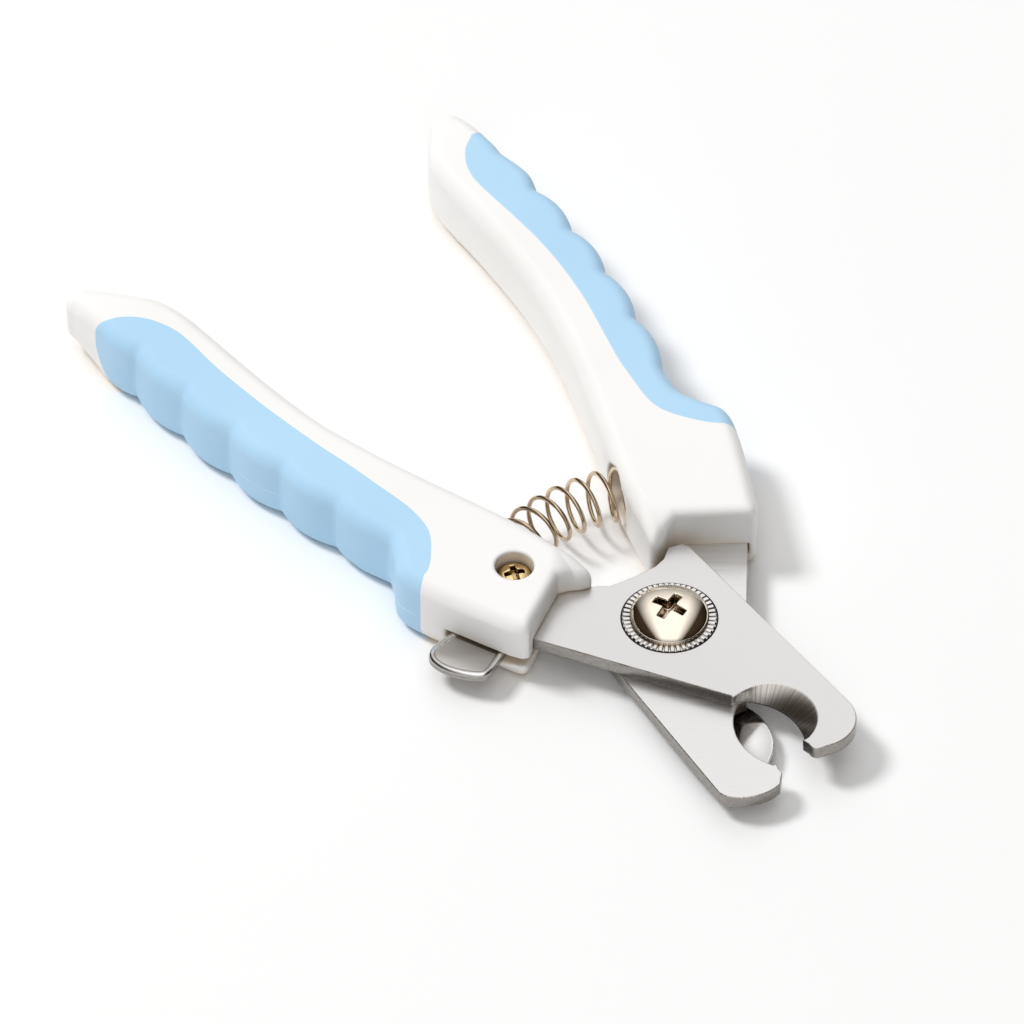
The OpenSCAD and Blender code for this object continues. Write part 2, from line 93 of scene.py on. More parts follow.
LOBE_HEIGHT, LOBE_FADE = 1.15, 9.0
LOBES_END = {LEFT: -92.0, RIGHT: -87.5}
TAIL_CREST = {LEFT: 1.2, RIGHT: 0.35}
FRONT_EDGE = [(0, 0), (-10.6, 0), (-10.6, 4.4), (-10.8, 5.6), (-11.3, 7.1), (-12.1, 8.6), (-12.4, 10),
              (-7.3, 17.9), (-6.5, 19), (-6.4, 20), (-7.4, 21.4), (-3, 26), (0, 26)]
SCREW_AT = (-17.0, 14.0)
COUNTERBORE_R, INSERT_R = 2.7, 2.5
LEFT_SCREW_SEAT, RIGHT_SCREW_SEAT, INSERT_END = 3.6, -3.2, -2.4
SLOT_GAP = 0.08
NOSE_SLOPE, NOSE_LENGTH, NOSE_ROUND = 0.52, 1.13, 1.2
BOTTOM_BACK = 0.4


def curve(points, x):
    """Smooth curve through the points, as heights at the places x."""
    p = np.array(points, float)
    i = np.clip(np.searchsorted(p[1:, 0], x, side="left"), 0, len(p) - 2)
    lo = np.maximum(np.arange(len(p)) - 1, 0)
    hi = np.minimum(np.arange(len(p)) + 1, len(p) - 1)
    slope = (p[hi, 1] - p[lo, 1]) / (p[hi, 0] - p[lo, 0])
    h = p[i + 1, 0] - p[i, 0]
    t = np.clip((x - p[i, 0]) / h, 0, 1)
    return (p[i, 1] * (1 + 2 * t) * (1 - t) ** 2 + p[i + 1, 1] * t * t * (3 - 2 * t)
            + h * t * (1 - t) * (slope[i] * (1 - t) - slope[i + 1] * t))


def lobe(side, x):
    """How far the finger lobes stand out from the outer wall."""
    valley, pitch, closer = LOBE_VALLEY[side]
    k = (valley - x) / pitch * (1 + closer * (valley - x))
    fade = np.clip((x - LOBES_END[side]) / LOBE_FADE, 0, 1)
    return np.where(x > valley, 0, LOBE_HEIGHT * np.abs(np.sin(np.pi * k)) ** 0.8 * fade)


def tip_half(side, x):
    middle, _, r = TIP[side]
    return np.sqrt(np.maximum(r ** 2 - (x - middle) ** 2, 0.02))


def y_in(side, x):
    return np.where(x < TIP_JOIN[side][0], TIP[side][1] - tip_half(side, x), curve(INNER_WALL[side], x))


def y_out(side, x):
    wall = curve(OUTER_WALL[side], x) + lobe(side, x)
    return np.where(x < TIP_JOIN[side][1], TIP[side][1] + tip_half(side, x), wall)


def y_grip(side, x, r):
    return np.minimum(curve(GRIP_EDGE[side], x), y_out(side, x) - r - 0.05)


class Plan:
    """Signed distance to a closed outline, negative inside, read from a grid worked out once."""

    def __init__(self, outline, low, high, step=0.2):
        self.low, self.step = np.array(low, float), step
        self.shape = tuple(int((b - a) / step) + 2 for a, b in zip(low, high))
        gx = low[0] + step * np.arange(self.shape[0])
        gy = low[1] + step * np.arange(self.shape[1])
        x, y = np.meshgrid(gx, gy, indexing="ij")
        best = np.full(self.shape, 1e9)
        inside = np.zeros(self.shape, bool)
        points = np.array(outline, float)
        for a, b in zip(points, np.roll(points, -1, axis=0)):
            d = b - a
            length = d @ d
            if length < 1e-12:
                continue
            t = np.clip(((x - a[0]) * d[0] + (y - a[1]) * d[1]) / length, 0, 1)
            best = np.minimum(best, (x - a[0] - t * d[0]) ** 2 + (y - a[1] - t * d[1]) ** 2)
            if a[1] != b[1]:
                crosses = ((a[1] > y) != (b[1] > y)) & (x < a[0] + (y - a[1]) * d[0] / d[1])
                inside ^= crosses
        self.grid = np.where(inside, -1, 1) * np.sqrt(best)

    def __call__(self, x, y):
        u = np.clip((x - self.low[0]) / self.step, 0, self.shape[0] - 1.001)
        v = np.clip((y - self.low[1]) / self.step, 0, self.shape[1] - 1.001)
        i, j = u.astype(int), v.astype(int)
        u, v = u - i, v - j
        g = self.grid
        return (g[i, j] * (1 - u) * (1 - v) + g[i + 1, j] * u * (1 - v)
                + g[i, j + 1] * (1 - u) * v + g[i + 1, j + 1] * u * v)


def handle_outline(side):
    middle, _, r = TIP[side]
    tip = middle - r * np.cos(np.linspace(0, 0.45 * math.pi, 24))
    x = np.concatenate([tip, np.arange(tip[-1] + 0.15, FRONT, 0.3), [FRONT]])
    return list(zip(x, y_in(side, x))) + list(zip(x[::-1], y_out(side, x)[::-1]))


# ---------- blades ----------

BLADE = 2.0
SKEW = {LEFT: -0.9, RIGHT: -4.3}
LAND = 0.3


def arc(c, r, a, b, n):
    angles = np.radians(np.linspace(a, b, n + 1))
    return [(c[0] + r * math.cos(t), c[1] + r * math.sin(t)) for t in angles]


def turned(p, degrees):
    c, s = math.cos(math.radians(degrees)), math.sin(math.radians(degrees))
    return (p[0] * c - p[1] * s, p[0] * s + p[1] * c)


TANG = [(-17.5, 11.2), (-20.5, 14), (-25, 16.5), (-36, 18.5), (-36, 22), (-22, 23), (-15, 21.7)]
EDGE_LOW = arc((24.3, 5.9), 8.9, 215.8, 305.5, 32)
EDGE_HIGH = arc((23.4, -0.1), 6.2, 180, 345, 32)


def corner_cut(points, rounds=2):
    """Open line with its corners cut off; its two ends stay."""
    p = np.array(points, float)
    for _ in range(rounds):
        cut = np.stack([0.75 * p[:-1] + 0.25 * p[1:], 0.25 * p[:-1] + 0.75 * p[1:]], 1).reshape(-1, 2)
        p = np.concatenate([p[:1], cut, p[-1:]])
    return [tuple(q) for q in p]


JAW_CORNER = {
    LEFT: [(27.2 + (5.3 + 0.2 * t) * math.cos(math.radians(17 - 107 * t)),
            -4.9 + (5.3 + 0.2 * t) * math.sin(math.radians(17 - 107 * t))) for t in np.linspace(0, 1, 20)],
    RIGHT: corner_cut([(33, -2.4), (33.35, -3.6), (33.4, -4.8), (33.25, -6.2), (32.9, -7.4), (32.35, -8.5),
                       (31.7, -9.4), (30.9, -10.1), (30, -10.4)])}


def blade_outline(side, share):
    """Outline of a blade at a height: share is 0 at its cutting face and 1 at its other face."""
    t = max(0, (share * BLADE - LAND) / (BLADE - LAND))
    notch = [((1 - t) * a[0] + t * b[0], (1 - t) * a[1] + t * b[1]) for a, b in zip(EDGE_LOW, EDGE_HIGH)]
    edge = lambda x: 2 - (x - 16.9) * 3.1 / 13.5
    rim_in, rim_out = notch[0][0], notch[-1][0]
    corner = JAW_CORNER[side]
    jaw = ([(-11.6, 19.8), (16.9, 2), (rim_in, edge(rim_in))] + notch + [(rim_out, edge(rim_out))]
           + corner_cut([(30.4, -1.1), (31.3, -1), (31.95, -1.6), corner[0]])[1:-1] + corner
           + [(-9.3, -10.4), (-10.4, -9.9), (-10.8, -8.5), (-10.9, -7.8), (-9.6, -6.1),
              (-9.1, -4.3), (-9.2, -1.1), (-9.5, 1.1), (-9.8, 3), (-10.7, 4.1), (-12.8, 9.1)])
    return [turned(p, SKEW[side]) for p in jaw] + TANG


plan = {s: Plan(handle_outline(s), (-101, -3), (-1, 36)) for s in (LEFT, RIGHT)}
blade_plan = {s: Plan(blade_outline(s, 0), (-38, -12), (2, 28)) for s in (LEFT, RIGHT)}
ahead_plan = Plan(FRONT_EDGE, (-40, -4), (4, 36))
LEVER_ROOM = [(-17, 9.2), (-21.2, 11.6), (-21.4, 17), (-17.6, 25.2), (-18.4, 29), (-2, 29), (-2, 9.2)]
lever_plan = Plan(LEVER_ROOM, (-40, -4), (4, 36))


# ---------- solids as distance fields ----------

def meet(a, b, r):
    """Where both solids are, with the edge between them rounded to radius r."""
    return (np.minimum(np.maximum(a + r, b + r), 0)
            + np.hypot(np.maximum(a + r, 0), np.maximum(b + r, 0)) - r)


def less(a, b, r):
    return meet(a, -b, r)


SEAT_ANGLE, SEAT_ARC, SEAT_R, SPRING_Z = 24.5, 25.8, 4.3, 0.9


def seat(p):
    """Round socket in a handle for an end of the spring, along the spring's arc."""
    c, s = math.cos(math.radians(SEAT_ANGLE)), math.sin(math.radians(SEAT_ANGLE))
    x = p[:, 0] * c - p[:, 1] * s
    y = p[:, 0] * s + p[:, 1] * c
    return np.maximum(np.hypot(x + SEAT_ARC, p[:, 2] - SPRING_Z) - SEAT_R, np.maximum(y, -9 - y))


def bore(p, r, low, high):
    radial = np.hypot(p[:, 0] - SCREW_AT[0], p[:, 1] - SCREW_AT[1]) - r
    return np.maximum(radial, np.maximum(low - p[:, 2], p[:, 2] - high))


def fall(x):
    """How far a handle thins towards its tail."""
    return 1 - 0.28 * (np.maximum(0, -86 - x) / 12.5) ** 2


def body(side, up, p):
    """Outside of half a handle, with the grip on it."""
    x, y, z = p.T
    if up:
        h, r = TOP, TOP_ROUND
    else:
        h, r, z = BOTTOM, BOTTOM_ROUND + 1.5 * np.clip((-88 - x) / 6, 0, 1), -z
    f = meet(plan[side](x, y), z - h * fall(x), r)
    if up:
        slope = (z - h + NOSE_SLOPE * (x + 15)) / NOSE_LENGTH - 0.6 * np.maximum(0, y - 7.5)
        f = meet(f, slope, NOSE_ROUND)
    back = BOTTOM_BACK if side == LEFT and not up else 0
    return meet(f, -ahead_plan(x + back, y), FRONT_ROUND)


def crest(z):
    """1 at the upper face of a handle, falling off round its edge to 0 on the wall."""
    return 1 - np.sqrt(1 - np.clip((z - TOP + TOP_ROUND) / TOP_ROUND, 0, 1) ** 2)


def tail_shift(side, z):
    """How far the grip's tail edge lies ahead of GRIP_FROM at a height."""
    return 0.109 * np.clip(2.5 - z, 0, 6.3) ** 2 + TAIL_CREST[side] * crest(z)


def front_shift(z):
    """How far the grip's front edge lies ahead of GRIP_TO at a height."""
    return -1.4 * crest(z)


def near(x, end):
    return np.clip(1 - np.abs(x - end) / 6, 0, 1)


def grip_region(side, up, p):
    """Negative where the grip covers half a handle."""
    x, y, z = p.T
    r = TOP_ROUND if up else BOTTOM_ROUND
    start, end = GRIP_FROM + tail_shift(side, z), GRIP_TO + front_shift(z)
    return np.maximum(np.maximum(start - x, x - end), y_grip(side, x, r) - y)


def shell(side, up):
    """Half a handle, hollowed under its grip and cut for blade, lever, screws and spring."""
    def field(p):
        f = body(side, up, p)
        x, y, z = p.T
        hidden = np.maximum(-1.5 - f, grip_region(side, up, p) + 0.9)
        f = np.maximum(f, -hidden)
        f = less(f, seat(p), 0.25)
        if up and side == LEFT:
            f = less(f, np.maximum(blade_plan[side](x, y) - SLOT_GAP, z - BLADE - 0.07), 0.12)
            f = less(f, bore(p, COUNTERBORE_R, LEFT_SCREW_SEAT, 20), 0.3)
        if not up and side == LEFT:
            f = less(f, np.maximum(lever_plan(x, y), -1.95 - z), 0.25)
            f = less(f, bore(p, INSERT_R, -20, INSERT_END), 0.2)
        if not up and side == RIGHT:
            f = less(f, np.maximum(blade_plan[side](x, y) - SLOT_GAP, -BLADE - 0.09 - z), 0.12)
            f = less(f, bore(p, COUNTERBORE_R, -20, RIGHT_SCREW_SEAT), 0.3)
        return f
    return field


def gradient(field, p, d=0.02):
    g = np.empty_like(p)
    for k in range(3):
        q = p.copy()
        q[:, k] += d
        ahead = field(q)
        q[:, k] -= 2 * d
        g[:, k] = (ahead - field(q)) / (2 * d)
    return g


def onto(field, p, level=0.0, rounds=3, reach=0.3):
    """Points moved onto the surface where the field has a level."""
    for _ in range(rounds):
        g = gradient(field, p)
        size = np.maximum((g ** 2).sum(1), 0.05)
        step = np.clip((field(p) - level) / size, -reach, reach)
        p = p - step[:, None] * g
    return p


def surface(field, xs, ys, zs):
    """Vertices and quads of the surface field = 0, one vertex in each grid cell that it crosses."""
    shape = (len(xs), len(ys), len(zs))
    grid = np.stack(np.meshgrid(xs, ys, zs, indexing="ij"), -1).reshape(-1, 3)
    f = np.concatenate([field(part) for part in np.array_split(grid, 8)]).reshape(shape)
    grid = grid.reshape(shape + (3,))
    cells = tuple(n - 1 for n in shape)
    total = np.zeros(cells + (3,))
    count = np.zeros(cells)
    cell_of = lambda lo, axis: slice(lo[axis], shape[axis] - 1 + lo[axis])
    for axis in range(3):
        for da in (0, 1):
            for db in (0, 1):
                lo = [da, da, da]
                others = [k for k in range(3) if k != axis]
                lo[axis] = 0
                lo[others[0]], lo[others[1]] = da, db
                here = tuple(cell_of(lo, k) for k in range(3))
                hi = list(lo)
                hi[axis] = 1
                there = tuple(cell_of(hi, k) for k in range(3))
                a, b = f[here], f[there]
                cross = (a < 0) != (b < 0)
                t = np.where(cross, a / np.where(cross, a - b, 1), 0)[..., None]
                total += np.where(cross[..., None], grid[here] * (1 - t) + grid[there] * t, 0)
                count += cross
    used = count > 0
    index = np.full(cells, -1)
    index[used] = np.arange(used.sum())
    verts = total[used] / count[used][:, None]
    quads = []
    for axis in range(3):
        b, c = [k for k in range(3) if k != axis]
        take = [slice(1, -1)] * 3
        take[axis] = slice(0, -1)
        nxt = list(take)
        nxt[axis] = slice(1, None)
        a0, a1 = f[tuple(take)] < 0, f[tuple(nxt)] < 0
        for flip, mask in ((False, a0 & ~a1), (True, ~a0 & a1)):
            where = np.argwhere(mask)
            base = where.copy()
            base[:, b] += 1
            base[:, c] += 1
            ring = []
            for ob, oc in ((1, 1), (0, 1), (0, 0), (1, 0)):
                q = base.copy()
                q[:, b] -= ob
                q[:, c] -= oc
                ring.append(index[q[:, 0], q[:, 1], q[:, 2]])
            quad = np.stack(ring, 1)
            if flip != (axis == 1):
                quad = quad[:, ::-1]
            quads.append(quad)
    quads = np.concatenate(quads)
    quads = quads[(quads >= 0).all(1)]
    verts = onto(field, verts)
    return relax(field, verts, quads), quads


def relax(field, verts, quads, rounds=2):
    """Evens out the quads by sliding vertices along the surface."""
    ends = np.concatenate([np.stack([quads[:, k], quads[:, (k + 1) % 4]], 1) for k in range(4)])
    for _ in range(rounds):
        mean = np.zeros_like(verts)
        n = np.zeros(len(verts))
        np.add.at(mean, ends[:, 0], verts[ends[:, 1]])
        np.add.at(n, ends[:, 0], 1)
        g = gradient(field, verts)
        g /= np.maximum(np.linalg.norm(g, axis=1), 1e-6)[:, None]
        move = mean / np.maximum(n, 1)[:, None] - verts
        move -= (move * g).sum(1)[:, None] * g
        verts = onto(field, verts + 0.5 * move, rounds=2, reach=0.15)
    return verts


# ---------- meshes ----------

def mesh_object(name, verts, faces, side=RIGHT, smooth=True):
    """A mesh from millimetres about the pivot, mirrored for the left side, into the shared frame."""
    v = np.array(verts, float).copy()
    faces = [list(map(int, f)) for f in faces]
    if side == LEFT:
        v[:, 1] *= -1
        faces = [f[::-1] for f in faces]
    mesh = bpy.data.meshes.new(name)
    mesh.from_pydata(((v + PIVOT) * MM).tolist(), [], faces)
    mesh.polygons.foreach_set("use_smooth", [smooth] * len(mesh.polygons))
    mesh.update()
    obj = bpy.data.objects.new(name, mesh)
    bpy.context.scene.collection.objects.link(obj)
    return obj


def finish_piece(obj, body_name, slot, material, *nodes):
    obj.data.materials.append(material)
    if body_name:
        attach(obj, body_name)
    if nodes:
        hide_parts(*nodes)
    return obj


def sharp_by_angle(obj, degrees):
    obj.data.set_sharp_from_angle(angle=math.radians(degrees))


def cut_flat(obj, z, keep_above):
    """Cuts a mesh at a height in millimetres above the meeting plane, and closes it there."""
    bm = bmesh.new()
    bm.from_mesh(obj.data)
    height = (PIVOT[2] + z) * MM
    geom = bm.verts[:] + bm.edges[:] + bm.faces[:]
    cut = bmesh.ops.bisect_plane(bm, geom=geom, dist=1e-7, plane_co=(0, 0, height), plane_no=(0, 0, 1),
                                 clear_inner=keep_above, clear_outer=not keep_above)
    rim = [e for e in cut["geom_cut"] if isinstance(e, bmesh.types.BMEdge) and e.is_boundary]
    filled = bmesh.ops.triangle_fill(bm, edges=rim, use_beauty=True,
                                     normal=(0, 0, -1 if keep_above else 1))
    for face in filled["geom"]:
        if isinstance(face, bmesh.types.BMFace):
            face.smooth = False
    for e in rim:
        if e.is_valid:
            e.smooth = False
    bmesh.ops.recalc_face_normals(bm, faces=bm.faces[:])
    bm.to_mesh(obj.data)
    bm.free()


def offset(outline, d):
    """Outline moved inwards by d, corner by corner."""
    p = np.array(outline, float)
    before, after = np.roll(p, 1, 0), np.roll(p, -1, 0)
    area = 0.5 * (p[:, 0] * after[:, 1] - after[:, 0] * p[:, 1]).sum()
    turn = 1 if area > 0 else -1
    n = []
    for a, b in ((before, p), (p, after)):
        e = b - a
        e /= np.maximum(np.linalg.norm(e, axis=1), 1e-9)[:, None]
        n.append(np.stack([-e[:, 1], e[:, 0]], 1) * turn)
    mid = n[0] + n[1]
    mid /= np.maximum((mid * n[0]).sum(1), 0.5)[:, None]
    return p + d * mid


def stack(name, levels, holes=(), side=RIGHT):
    """Solid through a stack of (outline, z) levels from low to high, with holes as lists of levels."""
    verts, faces, caps = [], [], []
    loops = [levels] + list(holes)
    ends = []
    for loop in loops:
        rows = []
        for outline, z in loop:
            rows.append(list(range(len(verts), len(verts) + len(outline))))
            verts += [(q[0], q[1], z) for q in outline]
        n = len(rows[0])
        for low, high in zip(rows, rows[1:]):
            for j in range(n):
                faces.append([low[j], low[(j + 1) % n], high[(j + 1) % n], high[j]])
        ends.append((rows[0], rows[-1]))
    for at in (0, 1):
        ids = sum((e[at] for e in ends), [])
        flat = [[Vector((verts[i][0], verts[i][1], 0)) for i in e[at]] for e in ends]
        caps += [[ids[i] for i in tri] for tri in tessellate_polygon(flat)]
    obj = mesh_object(name, verts, faces + caps, side)
    bm = bmesh.new()
    bm.from_mesh(obj.data)
    bm.faces.ensure_lookup_table()
    flat_faces = set(bm.faces[len(faces):])
    for f in flat_faces:
        f.smooth = False
    for e in bm.edges:
        if len(e.link_faces) == 2 and sum(f in flat_faces for f in e.link_faces) == 1:
            e.smooth = False
    bmesh.ops.dissolve_degenerate(bm, dist=1e-8, edges=bm.edges[:])
    bmesh.ops.recalc_face_normals(bm, faces=bm.faces[:])
    bm.to_mesh(obj.data)
    bm.free()
    return obj


# ---------- materials ----------

def nodes_of(name):
    m = bpy.data.materials.new(name)
    m.use_nodes = True
    tree = m.node_tree
    shader = tree.nodes["Principled BSDF"]
    where = tree.nodes.new("ShaderNodeTexCoord").outputs["Object"]
    return m, tree, shader, where


def noise(tree, where, scale, detail=2.0, along=None, stretch=12):
    """Noise over a position; along gives the direction in degrees of its streaks, stretch their length."""
    if along is not None:
        mapping = tree.nodes.new("ShaderNodeMapping")
        mapping.vector_type = "TEXTURE"
        mapping.inputs["Rotation"].default_value = (0, 0, math.radians(along))
        mapping.inputs["Scale"].default_value = (stretch, 1, 1)
        tree.links.new(where, mapping.inputs["Vector"])
        where = mapping.outputs["Vector"]
    n = tree.nodes.new("ShaderNodeTexNoise")
    n.inputs["Scale"].default_value = scale
    n.inputs["Detail"].default_value = detail
    tree.links.new(where, n.inputs["Vector"])
    return n.outputs["Fac"]


def rays(tree, where, centre, scale):
    """Noise in streaks that run out from a centre given in millimetres from the pivot."""
    mapping = tree.nodes.new("ShaderNodeMapping")
    mapping.inputs["Location"].default_value = [-(a + b) * MM for a, b in zip(centre, PIVOT)] + [0]
    tree.links.new(where, mapping.inputs["Vector"])
    turn = tree.nodes.new("ShaderNodeTexGradient")
    turn.gradient_type = "RADIAL"
    tree.links.new(mapping.outputs["Vector"], turn.inputs["Vector"])
    n = tree.nodes.new("ShaderNodeTexNoise")
    n.noise_dimensions = "1D"
    n.inputs["Scale"].default_value = scale
    n.inputs["Detail"].default_value = 4
    tree.links.new(turn.outputs["Fac"], n.inputs["W"])
    return n.outputs["Fac"]


def spread(tree, value, low, high, start=0.3, end=0.7):
    m = tree.nodes.new("ShaderNodeMapRange")
    m.inputs["From Min"].default_value = start
    m.inputs["From Max"].default_value = end
    m.inputs["To Min"].default_value = low
    m.inputs["To Max"].default_value = high
    tree.links.new(value, m.inputs["Value"])
    return m.outputs["Result"]


def two_tone(tree, value, first, second, start=0.3, end=0.7):
    ramp = tree.nodes.new("ShaderNodeValToRGB")
    ramp.color_ramp.elements[0].position = start
    ramp.color_ramp.elements[1].position = end
    ramp.color_ramp.elements[0].color = (*first, 1)
    ramp.color_ramp.elements[1].color = (*second, 1)
    tree.links.new(value, ramp.inputs["Fac"])
    return ramp.outputs["Color"]


def bump(tree, shader, value, strength, distance):
    b = tree.nodes.new("ShaderNodeBump")
    b.inputs["Strength"].default_value = strength
    b.inputs["Distance"].default_value = distance
    tree.links.new(value, b.inputs["Height"])
    tree.links.new(b.outputs["Normal"], shader.inputs["Normal"])


def painted_hollow_shade(tree, colour, shade_colour, reach, low, high):
    """The colour, turning into a painted shade colour in hollows narrower than reach, where occlusion is
    high.
    """
    hollow = tree.nodes.new("ShaderNodeAmbientOcclusion")
    hollow.inputs["Distance"].default_value = reach
    deep = tree.nodes.new("ShaderNodeRGB")
    deep.outputs[0].default_value = (*shade_colour, 1)
    return blend_colours(tree, spread(tree, hollow.outputs["AO"], 0, 1, low, high), deep.outputs[0], colour)


def on_parting_line(tree, where):
    """1 in broken thin lines where the upper and lower halves meet."""
    split = tree.nodes.new("ShaderNodeSeparateXYZ")
    tree.links.new(where, split.inputs["Vector"])
    level = tree.nodes.new("ShaderNodeMath")
    level.operation = "COMPARE"
    level.inputs[1].default_value = PIVOT[2] * MM
    level.inputs[2].default_value = 0.00009
    tree.links.new(split.outputs["Z"], level.inputs[0])
    broken = tree.nodes.new("ShaderNodeMath")
    broken.operation = "MULTIPLY"
    tree.links.new(level.outputs["Value"], broken.inputs[0])
    tree.links.new(spread(tree, noise(tree, where, 55, 3), 0, 1, 0.5, 0.6), broken.inputs[1])
    return broken.outputs["Value"]


def plastic(name, light, dark, rough, grain, deep=None, flash_glint=False):
    m, tree, shader, where = nodes_of(name)
    colour = two_tone(tree, noise(tree, where, 60), dark, light)
    # deep, when given, is a painted shade colour that hollows and corners turn to.
    if deep:
        colour = painted_hollow_shade(tree, colour, deep, 0.005, 0.25, 0.75)
    # The broken line follows the real parting line; its pale colour is a painted highlight, light caught by
    # the mould flash ridge.
    if flash_glint:
        pale = tree.nodes.new("ShaderNodeRGB")
        pale.outputs[0].default_value = (0.9, 0.95, 1, 1)
        colour = blend_colours(tree, on_parting_line(tree, where), colour, pale.outputs[0])
    tree.links.new(colour, shader.inputs["Base Color"])
    tree.links.new(spread(tree, noise(tree, where, 900), rough - 0.04, rough + 0.04),
                   shader.inputs["Roughness"])
    bump(tree, shader, noise(tree, where, grain, 4), 0.12, 0.00003)
    return m


def facing_up(tree):
    """How level a surface lies: 1 on flat faces, 0 on walls."""
    split = tree.nodes.new("ShaderNodeSeparateXYZ")
    size = tree.nodes.new("ShaderNodeMath")
    size.operation = "ABSOLUTE"
    tree.links.new(tree.nodes.new("ShaderNodeNewGeometry").outputs["True Normal"], split.inputs["Vector"])
    tree.links.new(split.outputs["Z"], size.inputs[0])
    return size.outputs["Value"]


def blend_colours(tree, factor, first, second):
    mix = tree.nodes.new("ShaderNodeMix")
    mix.data_type = "RGBA"
    tree.links.new(factor, mix.inputs["Factor"])
    tree.links.new(first, mix.inputs["A"])
    tree.links.new(second, mix.inputs["B"])
    return mix.outputs["Result"]


def metal(name, light, dark, rough, scale, along=None, lines=0.1, recess=None, reach=0.0012):
    """Bright metal with a fine grain; recess is a painted shade colour that it turns to in narrow hollows.
    """
    m, tree, shader, where = nodes_of(name)
    shader.inputs["Metallic"].default_value = 1
    grain = noise(tree, where, scale, 4, along)
    colour = two_tone(tree, grain, dark, light)
    if recess:
        colour = painted_hollow_shade(tree, colour, recess, reach, 0.45, 0.8)
    tree.links.new(colour, shader.inputs["Base Color"])
    tree.links.new(spread(tree, grain, rough - 0.03, rough + 0.04), shader.inputs["Roughness"])
    bump(tree, shader, grain, lines, 0.00003)
    return m


def blade_steel(name, light, dark, rough, scale, notch_at, lines, along=None,
                bevels=((0.36, 0.32, 0.29), (0.76, 0.71, 0.66)), wall_to=0.3):
    """Ground steel: grained flat faces, streaked bevels, and walls in a painted dark reflection of the
    shaded floor.
    """
    m, tree, shader, where = nodes_of(name)
    shader.inputs["Metallic"].default_value = 1
    level = facing_up(tree)
    grain = noise(tree, where, scale, 5, along, 18)
    face = two_tone(tree, grain, dark, light)
    bevel = two_tone(tree, rays(tree, where, notch_at, 260), *bevels)
    # Painted reflection: the walls get a dark colour standing in for the shaded floor they mirror.
    wall = two_tone(tree, noise(tree, where, 2500), (0.27, 0.25, 0.235), (0.37, 0.35, 0.33))
    sloped = blend_colours(tree, spread(tree, level, 0, 1, 0.05, wall_to), wall, bevel)
    tree.links.new(blend_colours(tree, spread(tree, level, 0, 1, 0.93, 0.985), sloped, face),
                   shader.inputs["Base Color"])
    tree.links.new(spread(tree, grain, rough - 0.04, rough + 0.05), shader.inputs["Roughness"])
    bump(tree, shader, grain, lines, 0.00002)
    return m


# The white plastic turns beige in its hollows and corners: painted shade.
WHITE = plastic("white_plastic", (0.93, 0.92, 0.905), (0.905, 0.895, 0.878), 0.36, 3500,
                deep=(0.82, 0.70, 0.55))
BLUE = plastic("blue_grip", (0.465, 0.715, 0.93), (0.435, 0.685, 0.905), 0.52, 5000, flash_glint=True)
STEEL = blade_steel("ground_steel", (0.73, 0.715, 0.705), (0.70, 0.684, 0.673), 0.32, 40,
                    (24, -2.9), 0.05, 10)
LOWER_STEEL = blade_steel("lower_steel", (0.82, 0.81, 0.80), (0.75, 0.735, 0.72), 0.34, 1300,
                          (24, 0.7), 0.2, 56)
# The gold pivot head and brass screws go dark brown in their cross recesses: painted shade.
GOLD = metal("pale_gold", (0.95, 0.86, 0.74), (0.92, 0.82, 0.68), 0.07, 400, lines=0.02,
             recess=(0.20, 0.13, 0.07))
BRASS = metal("screw_gold", (0.90, 0.70, 0.38), (0.80, 0.60, 0.30), 0.14, 900, recess=(0.16, 0.09, 0.03))
BRIGHT = metal("bright_steel", (0.80, 0.79, 0.78), (0.66, 0.64, 0.62), 0.2, 500)
WIRE = metal("spring_wire", (0.70, 0.57, 0.42), (0.50, 0.38, 0.26), 0.11, 700)
# The lever's bevels are near white, a painted highlight along its rim, and wall_to 0.8 carries the painted
# dark walls far up its sides.
TAB = blade_steel("lever_steel", (0.60, 0.58, 0.56), (0.50, 0.475, 0.45), 0.24, 300, (0, 0), 0.1, 60,
                  bevels=((0.88, 0.87, 0.86), (0.93, 0.92, 0.91)), wall_to=0.8)
# The guard dish goes near black wherever the blades hang close over it (reach 5 mm): painted shadow.
MIRROR = metal("guard_steel", (0.80, 0.79, 0.78), (0.75, 0.74, 0.73), 0.1, 300, lines=0.02,
               recess=(0.07, 0.055, 0.045), reach=0.005)


# ---------- handles ----------

def spaced(start, end, step):
    return np.linspace(start, end, int(abs(end - start) / step) + 2)


X_GRID = np.concatenate([spaced(-99.3, -38, 0.5)[:-1], spaced(-38, -4.5, 0.27)])
Y_GRID = spaced(-1.6, 36.0, 0.3)
SIDES = {LEFT: "left", RIGHT: "right"}

